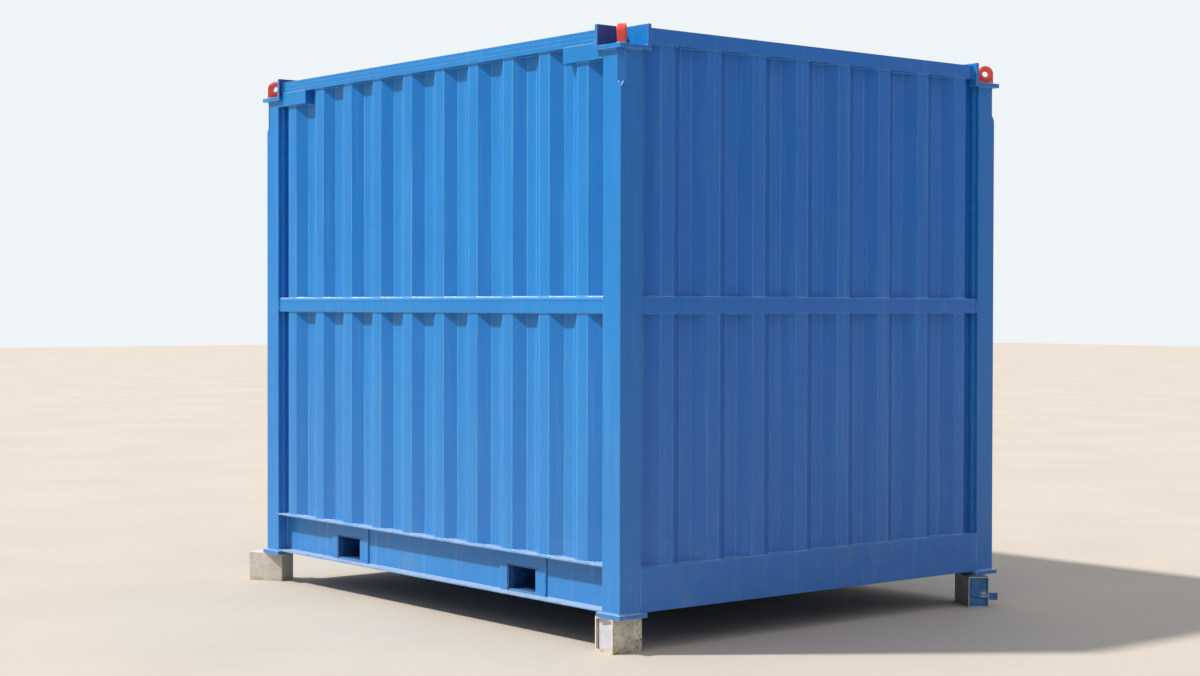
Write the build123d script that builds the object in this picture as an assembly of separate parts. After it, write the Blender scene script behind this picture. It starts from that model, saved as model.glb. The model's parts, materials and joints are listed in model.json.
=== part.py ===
from build123d import *
import math
import os

# A 10 ft closed offshore container on four loose supports, in millimetres.
# X runs along the container, with the doors at -X. Y runs across it and +Z is up.
# Heights are measured from the ground, where the supports stand.

# Overall sizes
length = 2991.0
width = 2438.0
frame_height = 2418.0          # from the underside of the posts to their tops
support_height = 150.0

# Corner posts and their plates
post_side = 118.0
post_wall = 10.0
base_plate_thick = 20.0
base_plate_reach = 140.0
plate_overhang = 17.0
top_plate_thick = 20.0
pocket_reach = 156.0           # from the outer faces to the back of the corner walls
pocket_wall_thick = 18.0
pocket_wall_height = 93.0

# Pad eyes, set on the diagonal and let into the posts
eye_radius = 39.0
eye_thick = 34.0
cheek_radius = 32.0
cheek_thick = 3.0
eye_hole_radius = 15.0
eye_hole_height = 50.0         # above the top plate
eye_setback = 46.7             # hole centre from the container's corner, along the diagonal
shank_setback = 12.0           # outer edge of the shank from the corner, along the diagonal
shank_depth = 140.0
shank_runout = 25.0

# Side rails
bottom_rail_height = 204.0
bottom_rail_depth = 66.0
bottom_rail_flange = 9.0
bottom_rail_web = 9.0
top_rail_setback = 5.0
top_rail_side = 60.0
top_rail_wall = 5.0
top_rail_gap = 14.0            # from the top plate up to the underside of the top rails
haunch_length = 280.0
haunch_height = 68.0
haunch_wall = 8.0

# End rails
end_rail_height = 190.0
end_rail_depth = 75.0
end_rail_wall = 6.0
end_top_rail_height = 66.0
header_drop = 68.0             # how far the door header reaches below the post tops

# Middle rails
mid_rail_bottom = 1288.0       # above the underside of the posts
mid_rail_setback = 7.0           # of the middle rails' faces from the post faces
mid_rail_face = 58.0
mid_rail_bevel_height = 15.0
mid_rail_depth = 60.0
mid_rail_wall = 5.0

# Corrugated panels
sheet_thick = 3.0
panel_recess = 12.0            # from the post face to the outer flats
wave_depth = 36.0
outer_flat = 72.0
inner_flat = 68.0
wave_slope = 67.25
side_flat_end = 282.0          # end of the first outer flat, from the door end
end_flat_end = 309.0           # end of the first outer flat, from the -Y side
edge_bar_wide = 14.0
edge_bar_depth = 28.0          # from the post face to the front of the bars beside the posts

# Fork pockets
fork_spacing = 1480.0
fork_wide = 200.0
fork_high = 108.0
fork_wall = 8.0
doubler_margin = 70.0
doubler_thick = 9.0

# Floor and roof
floor_thick = 6.0
cross_member_height = 120.0
cross_member_flange = 55.0
cross_member_thick = 6.0
cross_member_pitch = 330.0
roof_drop = 20.0               # roof sheet below the top of the side rails
roof_thick = 4.0
roof_rib_height = 16.0
roof_rib_flat = 60.0
roof_rib_slope = 20.0
roof_rib_pitch = 240.0

# Doors
door_setback = 45.0            # of the doors, sill and header from the post faces
door_gap = 6.0
door_frame_wide = 60.0
door_frame_wall = 4.0
door_thick = 50.0
rod_radius = 16.0
rod_clear = 8.0                # between a rod and the face of the door
rod_offset = 260.0             # of each rod from the middle of its leaf
rod_overrun = 40.0             # past the edge of the door, over the sill and the header
guide_high = 60.0
guide_wide = 80.0
guide_count = 3
keeper_cheek = 12.0
keeper_high = 70.0
keeper_clear = 3.0
handle_long = 330.0
handle_high = 26.0
handle_thick = 8.0
handle_height = 900.0          # above the foot of the doors
hinge_count = 4
hinge_high = 110.0
hinge_radius = 16.0
hinge_blade_long = 130.0
hinge_blade_thick = 8.0

# Supports: the middle of each from the container's outer faces, inwards in X and in Y
pale_stub_place = (88.0, 66.0)
pale_stub_turn = -6.5
pale_stub_long = 150.0
pale_stub_wide = 140.0
pale_stub_wall = 9.0
blue_stub_place = (41.0, 106.0)
blue_stub_turn = -33.0
blue_stub_long = 240.0
blue_stub_wide = 103.0
blue_stub_wall = 5.0
end_panel_recess = 12.0        # of the plates that close the stubs' ends
end_panel_thick = 6.0
end_panel_gap = 4.0
lug_reach = 45.0
lug_deep = 28.0
lug_low = 36.0
lug_high = 34.0
block_place = (-26.0, 38.0)
block_turn = 30.0
block_long = 202.0
block_deep = 120.0

# Heights that follow
plate_bottom = support_height
foot = support_height + base_plate_thick
post_top = foot + frame_height
plate_top = post_top + top_plate_thick
top_rail_bottom = plate_top + top_rail_gap
wave_pitch = outer_flat + inner_flat + 2 * wave_slope
mid_rail_height = mid_rail_face + mid_rail_bevel_height
floor_top = foot + end_rail_height


def box_between(x0, x1, y0, y1, z0, z1):
    """A box given by its two ends along each axis."""
    corner = Pos(min(x0, x1), min(y0, y1), min(z0, z1))
    size = (abs(x1 - x0), abs(y1 - y0), abs(z1 - z0))
    return corner * Box(*size, align=(Align.MIN, Align.MIN, Align.MIN))


def corner_box(sx, sy, u0, u1, v0, v1, z0, z1):
    """A box at one corner: u and v run inwards from the outer faces in X and Y."""
    return box_between(
        sx * (length / 2 - u0), sx * (length / 2 - u1),
        sy * (width / 2 - v0), sy * (width / 2 - v1), z0, z1,
    )


def diagonal_slab(sx, sy, outline, thick):
    """Extrudes an outline of (distance from the corner, height) across the corner's diagonal."""
    angle = math.atan2(-sy, -sx)
    plane = Plane(
        origin=(sx * length / 2, sy * width / 2, 0),
        x_dir=(math.cos(angle), math.sin(angle), 0),
        z_dir=(math.sin(angle), -math.cos(angle), 0),
    )
    return extrude(plane * outline, thick / 2, both=True)


def tube_x(x0, x1, y0, y1, z0, z1, wall):
    """A rectangular hollow section that runs along X."""
    return box_between(x0, x1, y0, y1, z0, z1) - box_between(
        x0, x1, min(y0, y1) + wall, max(y0, y1) - wall, z0 + wall, z1 - wall
    )


def tube_y(x0, x1, y0, y1, z0, z1, wall):
    """A rectangular hollow section that runs along Y."""
    return box_between(x0, x1, y0, y1, z0, z1) - box_between(
        min(x0, x1) + wall, max(x0, x1) - wall, y0, y1, z0 + wall, z1 - wall
    )


def corner_post(sx, sy):
    """Square hollow post, slotted along its outer corner for the pad eye's shank."""
    post = corner_box(sx, sy, 0, post_side, 0, post_side, foot, post_top)
    post -= corner_box(
        sx, sy, post_wall, post_side - post_wall, post_wall, post_side - post_wall, foot, post_top
    )
    low = post_top - shank_depth
    back = eye_setback + eye_radius
    outer = shank_setback
    slot = make_face(
        Polyline(
            (-outer, post_top),
            (back, post_top),
            (back, low),
            (outer, low),
            (0, low - shank_runout),
            (-outer, low - 2 * shank_runout),
            close=True,
        )
    )
    return post - diagonal_slab(sx, sy, slot, eye_thick)


def base_plate(sx, sy):
    low, high = -plate_overhang, base_plate_reach
    return corner_box(sx, sy, low, high, low, high, plate_bottom, foot)


def corner_pocket(sx, sy):
    """Top plate with the two upright walls that close the ends of the top rails."""
    out, near, far = -plate_overhang, pocket_reach - pocket_wall_thick, pocket_reach
    top = plate_top + pocket_wall_height
    pocket = corner_box(sx, sy, out, far, out, far, post_top, plate_top)
    pocket += corner_box(sx, sy, near, far, out, far, plate_top, top)
    pocket += corner_box(sx, sy, out, far, near, far, plate_top, top)
    back = eye_setback + eye_radius
    slot = make_face(
        Polyline(
            (shank_setback, post_top), (back, post_top),
            (back, plate_top), (shank_setback, plate_top), close=True,
        )
    )
    return pocket - diagonal_slab(sx, sy, slot, eye_thick)


def pad_eye(sx, sy):
    """Rounded lifting eye above the top plate, thicker round its hole, with a shank let into the post."""
    centre_z = plate_top + eye_hole_height
    hole = Pos(eye_setback, centre_z) * Circle(eye_hole_radius)
    head = Pos(eye_setback, centre_z) * Circle(eye_radius)
    head += Pos(eye_setback, (plate_top + centre_z) / 2) * Rectangle(2 * eye_radius, eye_hole_height)
    back = eye_setback + eye_radius
    shank_high = top_plate_thick + shank_depth
    shank = Rectangle(back - shank_setback, shank_high)
    shank = Pos((shank_setback + back) / 2, plate_top - shank_high / 2) * shank
    cheeks = Pos(eye_setback, centre_z) * Circle(cheek_radius) - hole
    plate = diagonal_slab(sx, sy, head + shank - hole, eye_thick)
    return plate + diagonal_slab(sx, sy, cheeks, eye_thick + 2 * cheek_thick)


def wave_at(s, flat_end):
    """Depth of the corrugation behind the post face, at a distance s along the wall."""
    phase = (s - flat_end) % wave_pitch
    if phase < wave_slope:
        return panel_recess + wave_depth * phase / wave_slope
    if phase < wave_slope + inner_flat:
        return panel_recess + wave_depth
    if phase < 2 * wave_slope + inner_flat:
        return panel_recess + wave_depth * (2 * wave_slope + inner_flat - phase) / wave_slope
    return panel_recess


def wave_outline(start, end, flat_end):
    """Outline in plan of a corrugated sheet between two posts, with X along the wall and Y inwards."""
    bends = (0, wave_slope, wave_slope + inner_flat, 2 * wave_slope + inner_flat)
    first = math.floor((start - flat_end) / wave_pitch)
    last = math.ceil((end - flat_end) / wave_pitch)
    turns = [flat_end + k * wave_pitch + bend for k in range(first, last + 1) for bend in bends]
    along = [start] + [s for s in turns if start < s < end] + [end]
    outer = [(s, wave_at(s, flat_end)) for s in along]
    inner = [(s, d + sheet_thick) for s, d in reversed(outer)]
    return make_face(Polyline(*outer, *inner, close=True))


def side_panel(side, low, high):
    """Corrugated panel of a long side, from one height to another."""
    outline = wave_outline(post_side, length - post_side, side_flat_end)
    panel = extrude(Pos(-length / 2, -width / 2, low) * outline, high - low)
    return panel if side < 0 else mirror(panel, Plane.XZ)


def upper_side_panel(side):
    panel = side_panel(side, foot + mid_rail_bottom + mid_rail_height, top_rail_bottom)
    low = top_rail_bottom - haunch_height
    depth = top_rail_setback + top_rail_side
    for sx in (-1, 1):
        panel -= corner_box(
            sx, side, post_side, post_side + haunch_length, 0, depth, low, top_rail_bottom
        )
    return panel


def lower_side_panel(side):
    return side_panel(side, foot + bottom_rail_height, foot + mid_rail_bottom)


def end_panel(low, high):
    """Corrugated panel of the closed end, from one height to another."""
    outline = wave_outline(post_side, width - post_side, end_flat_end)
    turned = Pos(length / 2, -width / 2, low) * Rot(0, 0, 90) * outline
    return extrude(turned, high - low, dir=(0, 0, 1))


def upper_end_panel():
    panel = end_panel(foot + mid_rail_bottom + mid_rail_height, top_rail_bottom)
    for sy in (-1, 1):
        panel -= corner_box(
            1, sy, 0, pocket_reach, post_side, pocket_reach, post_top, top_rail_bottom
        )
    return panel


def lower_end_panel():
    return end_panel(floor_top, foot + mid_rail_bottom)


def panel_edge_bars():
    """Square bars beside the posts that the ends of the panels are welded to."""
    wide = (post_side, post_side + edge_bar_wide)
    deep = (edge_bar_depth, panel_recess + wave_depth)
    mid_low, mid_top = foot + mid_rail_bottom, foot + mid_rail_bottom + mid_rail_height
    side_heights = ((foot + bottom_rail_height, mid_low), (mid_top, top_rail_bottom - haunch_height))
    end_heights = ((floor_top, mid_low), (mid_top, post_top))
    bars = []
    for sy in (-1, 1):
        bars += [corner_box(sx, sy, *wide, *deep, *span) for sx in (-1, 1) for span in side_heights]
        bars += [corner_box(1, sy, *deep, *wide, *span) for span in end_heights]
    return Compound(children=bars)


def mid_rail_profile():
    """Section of a middle rail, with X inwards from the post face and Y up."""
    low, face_top = foot + mid_rail_bottom, foot + mid_rail_bottom + mid_rail_face
    top = low + mid_rail_height
    front, back = mid_rail_setback, mid_rail_depth
    outside = make_face(
        Polyline((front, low), (back, low), (back, top), (panel_recess, top), (front, face_top), close=True)
    )
    return outside - offset(outside, -mid_rail_wall, kind=Kind.INTERSECTION)


def side_mid_rail(side):
    plane = Plane(origin=(-length / 2 + post_side, -width / 2, 0), x_dir=(0, 1, 0), z_dir=(1, 0, 0))
    rail = extrude(plane * mid_rail_profile(), length - 2 * post_side)
    return rail if side < 0 else mirror(rail, Plane.XZ)


def end_mid_rail():
    plane = Plane(origin=(length / 2, width / 2 - post_side, 0), x_dir=(-1, 0, 0), z_dir=(0, 1, 0))
    return extrude(plane * mid_rail_profile(), -(width - 2 * post_side))


def side_top_rail(side):
    """Top rail of a long side, with a hollow haunch under each end."""
    face = width / 2 - top_rail_setback
    back = face - top_rail_side
    reach = length / 2 - pocket_reach
    top = top_rail_bottom + top_rail_side
    rail = tube_x(-reach, reach, side * face, side * back, top_rail_bottom, top, top_rail_wall)
    low = top_rail_bottom - haunch_height
    depth = top_rail_setback + top_rail_side
    for sx in (-1, 1):
        haunch = corner_box(
            sx, side, post_side, post_side + haunch_length, 0, depth, low, top_rail_bottom
        )
        haunch -= corner_box(
            sx, side, post_side, post_side + haunch_length - haunch_wall,
            haunch_wall, depth - haunch_wall, low + haunch_wall, top_rail_bottom - haunch_wall,
        )
        haunch -= corner_box(sx, side, post_side, pocket_reach, 0, depth, post_top, top_rail_bottom)
        rail += haunch
    return rail


def end_top_rail():
    face = length / 2 - top_rail_setback
    reach = width / 2 - pocket_reach
    top = top_rail_bottom + end_top_rail_height
    return tube_y(face, face - top_rail_side, -reach, reach, top_rail_bottom, top, top_rail_wall)


def door_header():
    """Header over the doors: a lower part between the posts and the top rail above it."""
    face = -length / 2 + door_setback
    back = face + top_rail_side
    reach = width / 2 - pocket_reach
    top = top_rail_bottom + end_top_rail_height
    upper = tube_y(face, back, -reach, reach, post_top, top, top_rail_wall)
    between = width / 2 - post_side
    lower = tube_y(face, back, -between, between, post_top - header_drop, post_top, top_rail_wall)
    return upper + lower


def side_bottom_rail(side):
    """Channel with its flanges outwards, cut through for the fork pockets."""
    face, back = width / 2, width / 2 - bottom_rail_depth
    reach = length / 2 - post_side
    top = foot + bottom_rail_height
    rail = box_between(-reach, reach, side * face, side * back, foot, top)
    rail -= box_between(
        -reach, reach, side * face, side * (back + bottom_rail_web),
        foot + bottom_rail_flange, top - bottom_rail_flange,
    )
    for sx in (-1, 1):
        rail -= fork_outside(sx, face, back, side)
    return rail


def fork_outside(sx, y0, y1, side):
    """The space that a fork pocket's tube takes up between two depths of one side."""
    middle = sx * fork_spacing / 2
    half = fork_wide / 2 + fork_wall
    low = foot + bottom_rail_flange
    high = low + fork_high + 2 * fork_wall
    return box_between(middle - half, middle + half, side * y0, side * y1, low, high)


def fork_pocket(sx):
    """Tube through the base, with a doubler plate round each mouth."""
    middle = sx * fork_spacing / 2
    half = fork_wide / 2
    low = foot + bottom_rail_flange
    high = low + fork_high + 2 * fork_wall
    web_face = width / 2 - bottom_rail_depth + bottom_rail_web
    mouth = web_face + doubler_thick
    outer = half + fork_wall
    pocket = box_between(middle - outer, middle + outer, -mouth, mouth, low, high)
    doubler_half = half + doubler_margin
    doubler_top = foot + bottom_rail_height - bottom_rail_flange
    for side in (-1, 1):
        pocket += box_between(
            middle - doubler_half, middle + doubler_half, side * web_face, side * mouth, low, doubler_top
        )
    return pocket - box_between(
        middle - half, middle + half, -mouth, mouth, low + fork_wall, high - fork_wall
    )


def end_bottom_rail():
    between = width / 2 - post_side
    face = length / 2
    return tube_y(face, face - end_rail_depth, -between, between, foot, floor_top, end_rail_wall)


def door_sill():
    between = width / 2 - post_side
    face = -length / 2 + door_setback
    return tube_y(face, face + end_rail_depth, -between, between, foot, floor_top, end_rail_wall)


def floor_plate():
    """Floor between the bottom rails, cut away round the posts."""
    x0, x1 = -length / 2 + door_setback + end_rail_depth, length / 2 - end_rail_depth
    y = width / 2 - bottom_rail_depth
    low = floor_top - floor_thick
    floor = box_between(x0, x1, -y, y, low, floor_top)
    for sx in (-1, 1):
        for sy in (-1, 1):
            floor -= corner_box(sx, sy, 0, post_side, 0, post_side, low, floor_top)
    return floor


def cross_members():
    """Channels across the base under the floor, left out where the fork pockets run."""
    top = floor_top - floor_thick
    low = top - cross_member_height
    y = width / 2 - bottom_rail_depth
    room = length / 2 - post_side - cross_member_flange
    count = round(room / cross_member_pitch)
    step = room / count
    clear = fork_wide / 2 + fork_wall + cross_member_flange
    members = []
    for k in range(-count, count + 1):
        x = k * step
        if abs(abs(x) - fork_spacing / 2) < clear:
            continue
        member = box_between(x, x + cross_member_flange, -y, y, low, top)
        member -= box_between(
            x + cross_member_thick, x + cross_member_flange, -y, y,
            low + cross_member_thick, top - cross_member_thick,
        )
        members.append(member)
    return Compound(children=members)


def roof_panel():
    """Roof sheet with shallow ribs across it, set down between the top rails."""
    x0 = -length / 2 + door_setback + top_rail_side
    x1 = length / 2 - top_rail_setback - top_rail_side
    y = width / 2 - top_rail_setback - top_rail_side
    low = top_rail_bottom + top_rail_side - roof_drop - roof_rib_height - roof_thick
    count = int(((x1 - x0) / 2 - roof_rib_pitch / 2) // roof_rib_pitch)
    outer = [(x0, 0)]
    for k in range(-count, count + 1):
        middle = (x0 + x1) / 2 + k * roof_rib_pitch
        half = roof_rib_flat / 2
        outer += [
            (middle - half - roof_rib_slope, 0),
            (middle - half, roof_rib_height),
            (middle + half, roof_rib_height),
            (middle + half + roof_rib_slope, 0),
        ]
    outer.append((x1, 0))
    under = [(s, z - roof_thick) for s, z in reversed(outer)]
    plane = Plane(origin=(0, y, low + roof_thick), x_dir=(1, 0, 0), z_dir=(0, -1, 0))
    roof = extrude(plane * make_face(Polyline(*outer, *under, close=True)), 2 * y)
    for sx in (-1, 1):
        for sy in (-1, 1):
            roof -= corner_box(
                sx, sy, 0, pocket_reach, 0, pocket_reach, low, top_rail_bottom + top_rail_side
            )
    return roof


def door_span():
    """Lowest and highest edge of the doors."""
    return floor_top + door_gap, post_top - header_drop - door_gap


def door_edges(side):
    """Y of a leaf's two edges, lowest first."""
    edges = (side * door_gap / 2, side * (width / 2 - post_side - door_gap))
    return min(edges), max(edges)


def door_face():
    return -length / 2 + door_setback


def door_leaf(side):
    """One closed door: a frame of hollow bars round a corrugated panel."""
    low, high = door_span()
    y0, y1 = door_edges(side)
    face, back = door_face(), door_face() + door_thick
    bar, wall = door_frame_wide, door_frame_wall
    leaf = box_between(face, back, y0, y1, low, high)
    leaf -= box_between(face + wall, back - wall, y0 + wall, y1 - wall, low + wall, high - wall)
    ring = box_between(face, back, y0 + bar - wall, y1 - bar + wall, low + bar - wall, high - bar + wall)
    inside = box_between(face, back, y0 + bar, y1 - bar, low + bar, high - bar)
    leaf -= inside
    leaf += ring - inside
    outline = wave_outline(y0 + bar, y1 - bar, (y0 + y1 + outer_flat) / 2)
    turned = Plane(origin=(face - panel_recess / 2, 0, low + bar), x_dir=(0, 1, 0), z_dir=(0, 0, -1))
    return leaf + extrude(turned * outline, -(high - low - 2 * bar))


def rod_places():
    """Y of each lock rod, with the side of its leaf."""
    places = []
    for side in (-1, 1):
        middle = sum(door_edges(side)) / 2
        places += [(side, middle - rod_offset), (side, middle + rod_offset)]
    return places


def rod_x():
    return door_face() - rod_clear - rod_radius


def lock_rods():
    low, high = door_span()
    low, high = low - rod_overrun, high + rod_overrun
    rod = Cylinder(rod_radius, high - low, align=(Align.CENTER, Align.CENTER, Align.MIN))
    return Compound(children=[Pos(rod_x(), y, low) * rod for _, y in rod_places()])


def rod_guides():
    """Brackets on the doors that the rods turn in."""
    low, high = door_span()
    bar = door_frame_wide / 2
    step = (high - low - 2 * bar) / (guide_count - 1)
    face = door_face()
    guides = []
    for _, y in rod_places():
        for k in range(guide_count):
            middle = low + bar + k * step
            plate = Box(rod_clear, guide_wide, guide_high)
            guides.append(Pos(face - rod_clear / 2, y, middle) * plate)
    return Compound(children=guides)


def lock_keepers():
    """Cheeks on the sill and the header that hold the rods' ends."""
    low, high = door_span()
    inner = rod_radius + keeper_clear
    outer = inner + keeper_cheek
    out = door_face() - rod_clear - 2 * rod_radius
    keepers = []
    below = (low - door_gap - keeper_high, low - door_gap)
    above = (high + door_gap, high + door_gap + keeper_high)
    for _, y in rod_places():
        for z0, z1 in (below, above):
            keeper = box_between(out, door_face(), y - outer, y + outer, z0, z1)
            keeper -= box_between(out, door_face() - rod_clear, y - inner, y + inner, z0, z1)
            keepers.append(keeper)
    return Compound(children=keepers)


def lock_handles():
    """Flat handles that lie across the leaves from the rods."""
    low, high = door_span()
    handles = []
    out = door_face() - rod_clear - 2 * rod_radius
    for index, (_, y) in enumerate(rod_places()):
        way = 1 if index % 2 == 0 else -1
        z = low + handle_height + way * handle_high
        middle = y + way * (handle_long / 2 - rod_radius)
        handle = Box(handle_thick, handle_long, handle_high)
        handles.append(Pos(out - handle_thick / 2, middle, z) * handle)
    return Compound(children=handles)


def door_hinges():
    """Knuckle against the post with a blade on the door, several to a leaf."""
    low, high = door_span()
    step = (high - low) / hinge_count
    face = door_face()
    hinges = []
    for side in (-1, 1):
        post_face = side * (width / 2 - post_side)
        for k in range(hinge_count):
            z = low + (k + 0.5) * step - hinge_high / 2
            knuckle = Pos(face - hinge_radius, post_face - side * hinge_radius, z) * Cylinder(
                hinge_radius, hinge_high, align=(Align.CENTER, Align.CENTER, Align.MIN)
            )
            blade = box_between(
                face - hinge_blade_thick, face, post_face - side * hinge_radius,
                post_face - side * (hinge_radius + hinge_blade_long), z, z + hinge_high,
            )
            hinges.append(knuckle + blade)
    return Compound(children=hinges)


def support_at(sx, sy, place, turn):
    """Where a turned support stands, from the middle that is given for it."""
    return Pos(sx * (length / 2 - place[0]), sy * (width / 2 - place[1]), 0) * Rot(0, 0, turn)


def hollow_stub(long, wide, wall):
    """Short length of hollow section on its side, open along local X, with a plate set back in each end."""
    stub = Box(long, wide, support_height, align=(Align.CENTER, Align.CENTER, Align.MIN))
    stub -= Pos(0, 0, support_height / 2) * Box(long, wide - 2 * wall, support_height - 2 * wall)
    plate = Box(end_panel_thick, wide - 2 * wall - end_panel_gap, support_height - 2 * wall)
    set_in = long / 2 - end_panel_recess - end_panel_thick / 2
    for way in (-1, 1):
        stub += Pos(way * set_in, end_panel_gap / 2, support_height / 2) * plate
    return stub


def pale_stub():
    place = support_at(1, -1, pale_stub_place, pale_stub_turn - 90)
    return place * hollow_stub(pale_stub_long, pale_stub_wide, pale_stub_wall)


def blue_stub():
    """Hollow stub with a lug left on its side."""
    stub = hollow_stub(blue_stub_long, blue_stub_wide, blue_stub_wall)
    half = blue_stub_wide / 2
    front = blue_stub_long / 2
    stub += box_between(front - lug_deep, front, half, half + lug_reach, lug_low, lug_low + lug_high)
    return support_at(1, 1, blue_stub_place, blue_stub_turn) * stub


def concrete_block(sy):
    place = support_at(-1, sy, block_place, -sy * block_turn)
    return place * Box(block_long, block_deep, support_height, align=(Align.CENTER, Align.CENTER, Align.MIN))


def build():
    corners = {"door_left": (-1, -1), "door_right": (-1, 1), "end_left": (1, -1), "end_right": (1, 1)}
    parts = {}
    for name, (sx, sy) in corners.items():
        parts["corner_post_" + name] = corner_post(sx, sy)
        parts["corner_pocket_" + name] = corner_pocket(sx, sy)
        parts["pad_eye_" + name] = pad_eye(sx, sy)
    parts["panel_edge_bars"] = panel_edge_bars()
    parts["base_plates"] = Compound(children=[base_plate(sx, sy) for sx, sy in corners.values()])
    for name, side in (("left", -1), ("right", 1)):
        parts["side_top_rail_" + name] = side_top_rail(side)
        parts["side_mid_rail_" + name] = side_mid_rail(side)
        parts["side_bottom_rail_" + name] = side_bottom_rail(side)
        parts["upper_side_panel_" + name] = upper_side_panel(side)
        parts["lower_side_panel_" + name] = lower_side_panel(side)
        parts["door_leaf_" + name] = door_leaf(side)
    parts["end_top_rail"] = end_top_rail()
    parts["end_mid_rail"] = end_mid_rail()
    parts["end_bottom_rail"] = end_bottom_rail()
    parts["door_sill"] = door_sill()
    parts["door_header"] = door_header()
    parts["upper_end_panel"] = upper_end_panel()
    parts["lower_end_panel"] = lower_end_panel()
    parts["fork_pocket_door"] = fork_pocket(-1)
    parts["fork_pocket_end"] = fork_pocket(1)
    parts["floor_plate"] = floor_plate()
    parts["cross_members"] = cross_members()
    parts["roof_panel"] = roof_panel()
    parts["lock_rods"] = lock_rods()
    parts["rod_guides"] = rod_guides()
    parts["lock_keepers"] = lock_keepers()
    parts["lock_handles"] = lock_handles()
    parts["door_hinges"] = door_hinges()
    parts["support_end_left"] = pale_stub()
    parts["support_end_right"] = blue_stub()
    parts["support_door_left"] = concrete_block(-1)
    parts["support_door_right"] = concrete_block(1)
    return parts


os.makedirs("parts", exist_ok=True)
for name, part in build().items():
    export_step(part, "parts/" + name + ".step")
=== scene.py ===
import json
import math
import random

import bmesh
import bpy
from mathutils import Matrix, Vector


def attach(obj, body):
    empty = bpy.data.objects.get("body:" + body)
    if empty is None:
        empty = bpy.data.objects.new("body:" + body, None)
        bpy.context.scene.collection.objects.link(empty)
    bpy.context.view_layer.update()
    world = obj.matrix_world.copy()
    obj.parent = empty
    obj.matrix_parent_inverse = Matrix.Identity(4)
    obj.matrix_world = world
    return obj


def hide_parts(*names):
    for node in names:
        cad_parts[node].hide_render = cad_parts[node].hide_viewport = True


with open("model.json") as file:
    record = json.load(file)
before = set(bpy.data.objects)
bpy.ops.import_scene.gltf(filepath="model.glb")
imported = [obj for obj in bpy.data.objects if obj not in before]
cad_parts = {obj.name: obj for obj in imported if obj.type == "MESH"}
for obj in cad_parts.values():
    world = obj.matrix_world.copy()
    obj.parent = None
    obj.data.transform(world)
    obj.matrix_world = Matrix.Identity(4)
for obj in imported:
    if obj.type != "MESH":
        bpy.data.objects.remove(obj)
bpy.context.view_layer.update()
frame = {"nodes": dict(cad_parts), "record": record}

# Sizes of the container, in metres, as in the CAD
LENGTH, WIDTH = 2.991, 2.438
FOOT, POST_TOP, PLATE_TOP = 0.170, 2.588, 2.608
POST = 0.118
FLOOR_TOP = 0.360
BOTTOM_RAIL_TOP, BOTTOM_RAIL_WEB = 0.374, 0.057
MID_LOW, MID_TOP = 1.458, 1.531
MID_FACE, MID_SETBACK = 1.516, 0.007
RAIL_LOW, RAIL_HIGH, RAIL_SETBACK = 2.622, 2.682, 0.005
HAUNCH_LOW, HAUNCH_LONG = 2.554, 0.280
POCKET, POCKET_WALL = 0.156, 0.018
SHEET, RECESS, WAVE = 0.003, 0.012, 0.036
OUTER_FLAT, INNER_FLAT, SLOPE = 0.072, 0.068, 0.06725
PITCH = OUTER_FLAT + INNER_FLAT + 2 * SLOPE
SIDE_FLAT_END, END_FLAT_END = 0.282, 0.309
FORK_SPACING, DOUBLER_HALF, FORK_MOUTH, FORK_HEAD = 1.480, 0.170, 1.171, 0.2945
EYE_SETBACK, EYE_REACH, SHANK_SETBACK, EYE_THICK = 0.0467, 0.039, 0.012, 0.034
SHANK_LOW, SHANK_RUNOUT = 2.448, 0.025

# Hollow stubs: place of the middle, turn in degrees, length, width and thickness of the walls
PALE_STUB = ((1.4075, -1.153), -96.5, 0.150, 0.140, 0.009)
BLUE_STUB = ((1.4545, 1.113), -33.0, 0.240, 0.103, 0.005)
STUB_HIGH = 0.150

# Sizes of what is added here, in metres
BEND_RADIUS, BEND_STEPS = 0.014, 5
BEND_STEP_MOST = 0.006
BEND_CLEAR = 0.004
SAME_PLACE = 1e-6
FILLET_BACK, FILLET_MIDDLE, FILLET_DEEP, FILLET_HIGH = 0.016, 0.014, 0.0085, 0.0175
FILLET_STEPS = 8
BEAD_SIDES, BEAD_STEP, BEAD_STEP_CORNER = 6, 0.012, 0.008
SEAM_LINE = 0.0012
SHANK_BEAD, BAR_BEAD, SHEET_BEAD, RAIL_BEAD = 0.0028, 0.003, 0.0035, 0.004
PLATE_BEAD, EYE_BEAD, WEB_BEAD = 0.0045, 0.005, 0.006
SKIN = 0.001
BAR_DEPTH = 0.027
FLANGE_EDGE = 0.0095
JAMB_NEAR, JAMB_FAR, HEAD_LINE = 0.0992, 0.117, 0.004

# Colours, as linear values: the container's paint, what lies on it, and the light and shade painted on it
BLUE = (0.010, 0.208, 0.570)
BLUE_PALE = (0.090, 0.340, 0.690)
BLUE_DEEP = (0.006, 0.165, 0.500)
# Painted reflection of the bright floor, mixed in low down
FLOOR_REFLECTION_PALE = (0.300, 0.440, 0.620)
# Pale paint for worn edges, and a painted highlight on flange lips and weld crests
CHALKY_WEAR_AND_GLINT = (0.400, 0.530, 0.700)
# Painted highlight along the sheets' bends
BEND_GLINT_BLUE = (0.120, 0.350, 0.690)
# Painted shade: a deeper blue for faces towards +X, the side away from the key light
SHADED_SIDE_BLUE = (0.016, 0.152, 0.560)
# Painted shade on the end sheets' slopes that face +Y
SLOPE_SHADE = (0.004, 0.060, 0.330)
PRIMER = (0.42, 0.40, 0.37)
RUST = (0.130, 0.050, 0.022)
DUST = (0.26, 0.29, 0.32)
# Pale dust on level faces, which also serves as a painted highlight where the sun falls on them
DUST_AND_HIGHLIGHT_PALE = (0.40, 0.44, 0.46)
# Painted highlight on the side middle rails' top strips
GLINT_WHITE, GLINT_BLUE = (0.52, 0.62, 0.72), (0.30, 0.46, 0.68)
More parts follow.
